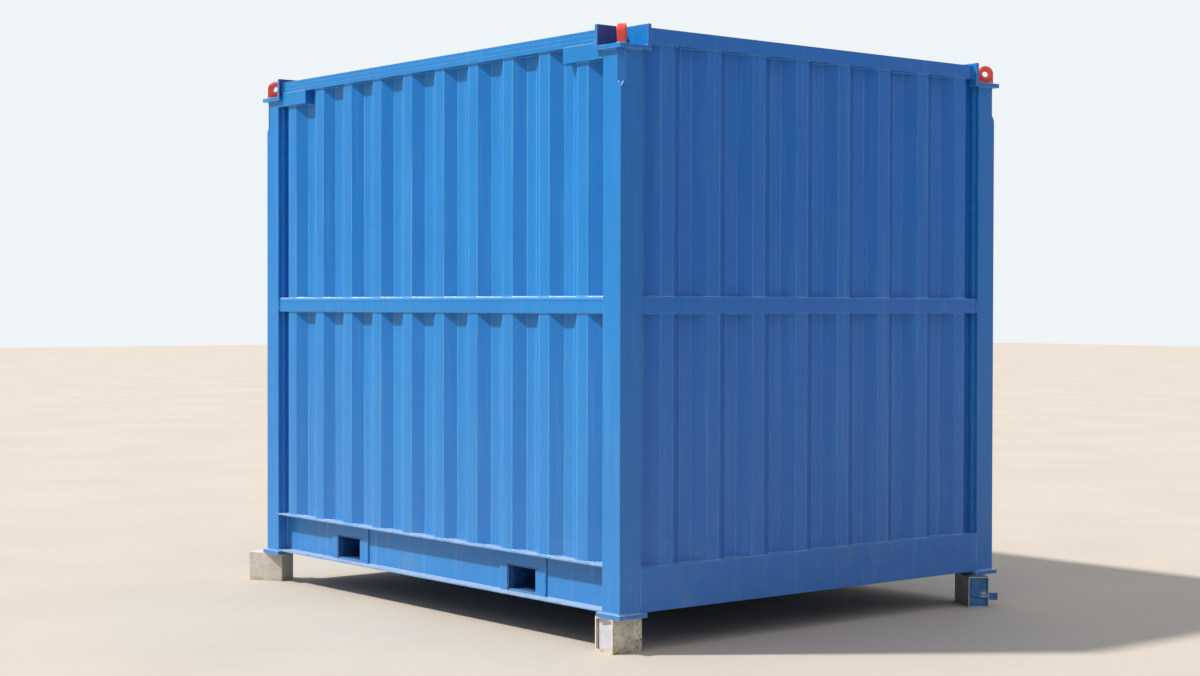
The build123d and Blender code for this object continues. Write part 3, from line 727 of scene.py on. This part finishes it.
def beads(name, runs, step=BEAD_STEP):
    """Weld beads: lumpy tubes along the runs, each a list of points and a radius."""
    chance = random.Random(len(runs))
    verts, faces = [], []
    for points, radius in runs:
        line = spaced([Vector(p) for p in points], step)
        for k, point in enumerate(line):
            run = line[min(k + 1, len(line) - 1)] - line[max(k - 1, 0)]
            run.normalize()
            across = run.cross(Vector((0, 0, 1)) if abs(run.z) < 0.9 else Vector((1, 0, 0))).normalized()
            over = run.cross(across)
            size = radius * chance.uniform(0.82, 1.12)
            if k in (0, len(line) - 1):
                size *= 0.6
            base = len(verts)
            for turn in range(BEAD_SIDES):
                angle = 2 * math.pi * turn / BEAD_SIDES
                verts.append(point + (across * math.cos(angle) + over * math.sin(angle)) * size)
            if k:
                before = base - BEAD_SIDES
                for turn in range(BEAD_SIDES):
                    after = (turn + 1) % BEAD_SIDES
                    faces.append((before + turn, before + after, base + after, base + turn))
        faces.append(tuple(range(base, base + BEAD_SIDES)))
        first = base - BEAD_SIDES * (len(line) - 1)
        faces.append(tuple(range(first + BEAD_SIDES - 1, first - 1, -1)))
    add_piece(name, verts, faces, bead_paint, sharp=70)


def fillet(name, place, long, finish):
    """A rounded strip along the upper edge of a middle rail, from one post to the other."""
    foot = MID_FACE - SKIN
    profile = [(FILLET_BACK, foot)]
    for k in range(FILLET_STEPS + 1):
        angle = math.radians(90 * k / FILLET_STEPS)
        profile.append((FILLET_MIDDLE - FILLET_DEEP * math.cos(angle), foot + FILLET_HIGH * math.sin(angle)))
    profile.append((FILLET_BACK, MID_TOP))
    count = len(profile)
    verts = [place(s, depth, z) for s in (POST, long - POST) for depth, z in profile]
    faces = [(k, (k + 1) % count, count + (k + 1) % count, count + k) for k in range(count)]
    faces += [tuple(range(count)), tuple(range(2 * count - 1, count - 1, -1))]
    add_piece(name, verts, faces, finish, sharp=50)


def corner_place(sx, sy):
    """Turns (u, v, z) into a place at one corner: u and v run inwards from its outer faces in X and Y."""
    return lambda u, v, z: (sx * (LENGTH / 2 - u), sy * (WIDTH / 2 - v), z)


def upright(at, u, v, low, high):
    """A run straight up, at one place in plan."""
    return [at(u, v, low), at(u, v, high)]


def panel_beads():
    """Beads along the sheets' edges where they meet the rails, and the side top rails' seams."""
    runs = []
    first, last = POST, LENGTH - POST
    for side in (-1, 1):
        place = side_place(side)
        seam_depth = RAIL_SETBACK + 0.0004
        for z in (RAIL_LOW + 0.020, RAIL_LOW + 0.040):
            runs.append(([place(POCKET, seam_depth, z), place(LENGTH - POCKET, seam_depth, z)], SEAM_LINE))
        for start, end, z in (
            (first, last, BOTTOM_RAIL_TOP + SKIN),
            (first, last, MID_LOW - SKIN),
            (first, last, MID_TOP + SKIN),
            (first + HAUNCH_LONG, last - HAUNCH_LONG, RAIL_LOW - SKIN),
            (first, first + HAUNCH_LONG, HAUNCH_LOW - SKIN),
            (last - HAUNCH_LONG, last, HAUNCH_LOW - SKIN),
        ):
            line = wave_line(start, end, SIDE_FLAT_END)
            runs.append(([place(p.x, p.y, z) for p in line], SHEET_BEAD))
    for start, end, z in (
        (POST, WIDTH - POST, FLOOR_TOP + SKIN),
        (POST, WIDTH - POST, MID_LOW - SKIN),
        (POST, WIDTH - POST, MID_TOP + SKIN),
        (POCKET, WIDTH - POCKET, RAIL_LOW - SKIN),
    ):
        line = wave_line(start, end, END_FLAT_END)
        runs.append(([end_place(p.x, p.y, z) for p in line], SHEET_BEAD))
    return runs


def corner_beads(at):
    """Beads round one lifting corner and down its post."""
    half_slot = EYE_THICK / math.sqrt(2)
    turn_in = SHANK_SETBACK * math.sqrt(2)
    under_plate = POST_TOP - SKIN
    runs = []
    for on in (at, lambda a, b, z: at(b, a, z)):
        runs.append(([on(half_slot + 0.002, -SKIN, under_plate), on(POST, -SKIN, under_plate)], PLATE_BEAD))
        slot_edge = [
            on(half_slot, SKIN, POST_TOP - 0.004),
            on(half_slot, SKIN, SHANK_LOW),
            on(turn_in, SKIN, SHANK_LOW),
            on(0.002, SKIN, SHANK_LOW - SHANK_RUNOUT),
        ]
        runs.append((slot_edge, SHANK_BEAD))
        runs.append((upright(on, POCKET + SKIN, RAIL_SETBACK - SKIN, RAIL_LOW, RAIL_HIGH), BAR_BEAD))
    front, back = EYE_SETBACK - EYE_REACH, EYE_SETBACK + EYE_REACH
    loop = []
    for along, across in ((front, -1), (front, 1), (back, 1), (back, -1), (front, -1)):
        side = across * EYE_THICK / 2
        loop.append(at((along + side) / math.sqrt(2), (along - side) / math.sqrt(2), PLATE_TOP + SKIN))
    runs.append((loop, EYE_BEAD))
    inside, outside = POCKET - POCKET_WALL, -0.015
    walls = [(inside, outside), (inside, inside), (outside, inside)]
    runs.append(([at(u, v, PLATE_TOP) for u, v in walls], EYE_BEAD))
    return runs


def frame_beads(at, closed_end):
    """Beads where the rails of one corner meet the post."""
    beside = POST + SKIN
    web = BOTTOM_RAIL_WEB - 0.002
    runs = [
        (upright(at, POST + 0.003, web, FOOT + 0.010, BOTTOM_RAIL_TOP - 0.010), WEB_BEAD),
        (upright(at, beside, MID_SETBACK, MID_LOW + 0.002, MID_FACE), RAIL_BEAD),
        (upright(at, beside, BAR_DEPTH, BOTTOM_RAIL_TOP, MID_LOW), BAR_BEAD),
        (upright(at, beside, BAR_DEPTH, MID_TOP, HAUNCH_LOW), BAR_BEAD),
        ([at(POCKET, 0.002, RAIL_LOW + SKIN), at(POST + HAUNCH_LONG, 0.002, RAIL_LOW + SKIN)], RAIL_BEAD),
        ([at(SKIN, -SKIN, FOOT + SKIN), at(POST, -SKIN, FOOT + SKIN)], PLATE_BEAD),
        ([at(-SKIN, SKIN, FOOT + SKIN), at(-SKIN, POST, FOOT + SKIN)], PLATE_BEAD),
    ]
    if closed_end:
        runs += [
            (upright(at, SKIN, beside, FOOT + 0.002, FLOOR_TOP), SHEET_BEAD),
            (upright(at, MID_SETBACK, beside, MID_LOW + 0.002, MID_FACE), RAIL_BEAD),
            (upright(at, BAR_DEPTH, beside, FLOOR_TOP, MID_LOW), BAR_BEAD),
            (upright(at, BAR_DEPTH, beside, MID_TOP, POST_TOP), BAR_BEAD),
        ]
    return runs


def fork_beads():
    """Beads down both ends of the fork pockets' doubler plates."""
    low, high = FOOT + 0.011, BOTTOM_RAIL_TOP - 0.011
    places = [
        (side_place(side), middle + edge)
        for side in (-1, 1)
        for middle in (LENGTH / 2 - FORK_SPACING / 2, LENGTH / 2 + FORK_SPACING / 2)
        for edge in (-DOUBLER_HALF, DOUBLER_HALF)
    ]
    return [(upright(place, s, BOTTOM_RAIL_WEB - 0.004, low, high), EYE_BEAD) for place, s in places]


corners = [(sx, sy) for sx in (-1, 1) for sy in (-1, 1)]
beads("panel_welds", panel_beads())
beads(
    "corner_welds", [run for corner in corners for run in corner_beads(corner_place(*corner))],
    step=BEAD_STEP_CORNER,
)
for side, label in SIDES:
    fillet("side_mid_rail_fillet_" + label, side_place(side), LENGTH, glint_finish)
fillet("end_mid_rail_fillet", end_place, WIDTH, sheet_paint)
frame_runs = [run for sx, sy in corners for run in frame_beads(corner_place(sx, sy), sx > 0)]
beads("frame_welds", frame_runs + fork_beads())


def add_floor():
    """A plain pale floor."""
    bpy.ops.mesh.primitive_plane_add(size=120)
    floor = bpy.context.object
    floor.name = "floor"
    f = Finish("floor")
    tone = f.mix(f.patches(0.8, 4, 0.3, 0.7), FLOOR, tuple(c * 0.94 for c in FLOOR))
    floor.data.materials.append(f.set(Base_Color=tone, Roughness=0.85))


def add_surroundings():
    """Fill from all round, stronger from above. The camera and glossy surfaces see a pale backdrop."""
    world = bpy.data.worlds.new("surroundings")
    bpy.context.scene.world = world
    world.use_nodes = True
    tree = world.node_tree
    link = tree.links.new
    rays = tree.nodes.new("ShaderNodeLightPath").outputs
    shown = tree.nodes.new("ShaderNodeMath")
    shown.operation = "MAXIMUM"
    link(rays["Is Camera Ray"], shown.inputs[0])
    link(rays["Is Glossy Ray"], shown.inputs[1])
    height = tree.nodes.new("ShaderNodeSeparateXYZ")
    link(tree.nodes.new("ShaderNodeTexCoord").outputs["Generated"], height.inputs[0])
    level = tree.nodes.new("ShaderNodeMapRange")
    link(height.outputs["Z"], level.inputs["Value"])
    level.inputs["To Min"].default_value = FILL_LOW
    level.inputs["To Max"].default_value = FILL_HIGH
    fill, seen = tree.nodes["Background"], tree.nodes.new("ShaderNodeBackground")
    fill.inputs["Color"].default_value = (*FILL, 1)
    link(level.outputs["Result"], fill.inputs["Strength"])
    seen.inputs["Color"].default_value = (*BACKDROP, 1)
    both = tree.nodes.new("ShaderNodeMixShader")
    link(shown.outputs[0], both.inputs[0])
    link(fill.outputs[0], both.inputs[1])
    link(seen.outputs[0], both.inputs[2])
    link(both.outputs[0], tree.nodes["World Output"].inputs["Surface"])


def add_sun():
    """A soft key light from the door end of the -Y side."""
    lamp = bpy.data.lights.new("key", "SUN")
    lamp.energy = SUN_STRENGTH
    lamp.angle = math.radians(SUN_WIDTH)
    lamp.color = SUN_COLOUR
    key = bpy.data.objects.new("key", lamp)
    key.rotation_euler = Vector(SUN_FROM).to_track_quat("Z", "Y").to_euler()
    bpy.context.scene.collection.objects.link(key)


def photo_camera():
    """The camera that the photo was taken with, from the fit of the container's edges."""
    azimuth, down, roll = (math.radians(turn) for turn in (CAMERA_AZIMUTH, CAMERA_DOWN, CAMERA_ROLL))
    ahead = Vector((-math.sin(azimuth) * math.cos(down), math.cos(azimuth) * math.cos(down), -math.sin(down)))
    right = Vector((math.cos(azimuth), math.sin(azimuth), 0))
    up = right.cross(ahead)
    tilted_right = math.cos(roll) * right + math.sin(roll) * up
    tilted_up = math.cos(roll) * up - math.sin(roll) * right
    lens = bpy.data.cameras.new("camera")
    lens.sensor_fit = "HORIZONTAL"
    lens.sensor_width = CAMERA_SENSOR
    lens.lens = CAMERA_LENS
    camera = bpy.data.objects.new("camera", lens)
    turn = Matrix((tilted_right, tilted_up, -ahead)).transposed().to_4x4()
    camera.matrix_world = Matrix.Translation(CAMERA_AT) @ turn
    bpy.context.scene.collection.objects.link(camera)
    bpy.context.scene.camera = camera


add_floor()
add_surroundings()
add_sun()
photo_camera()
bpy.context.scene.view_settings.view_transform = "Standard"
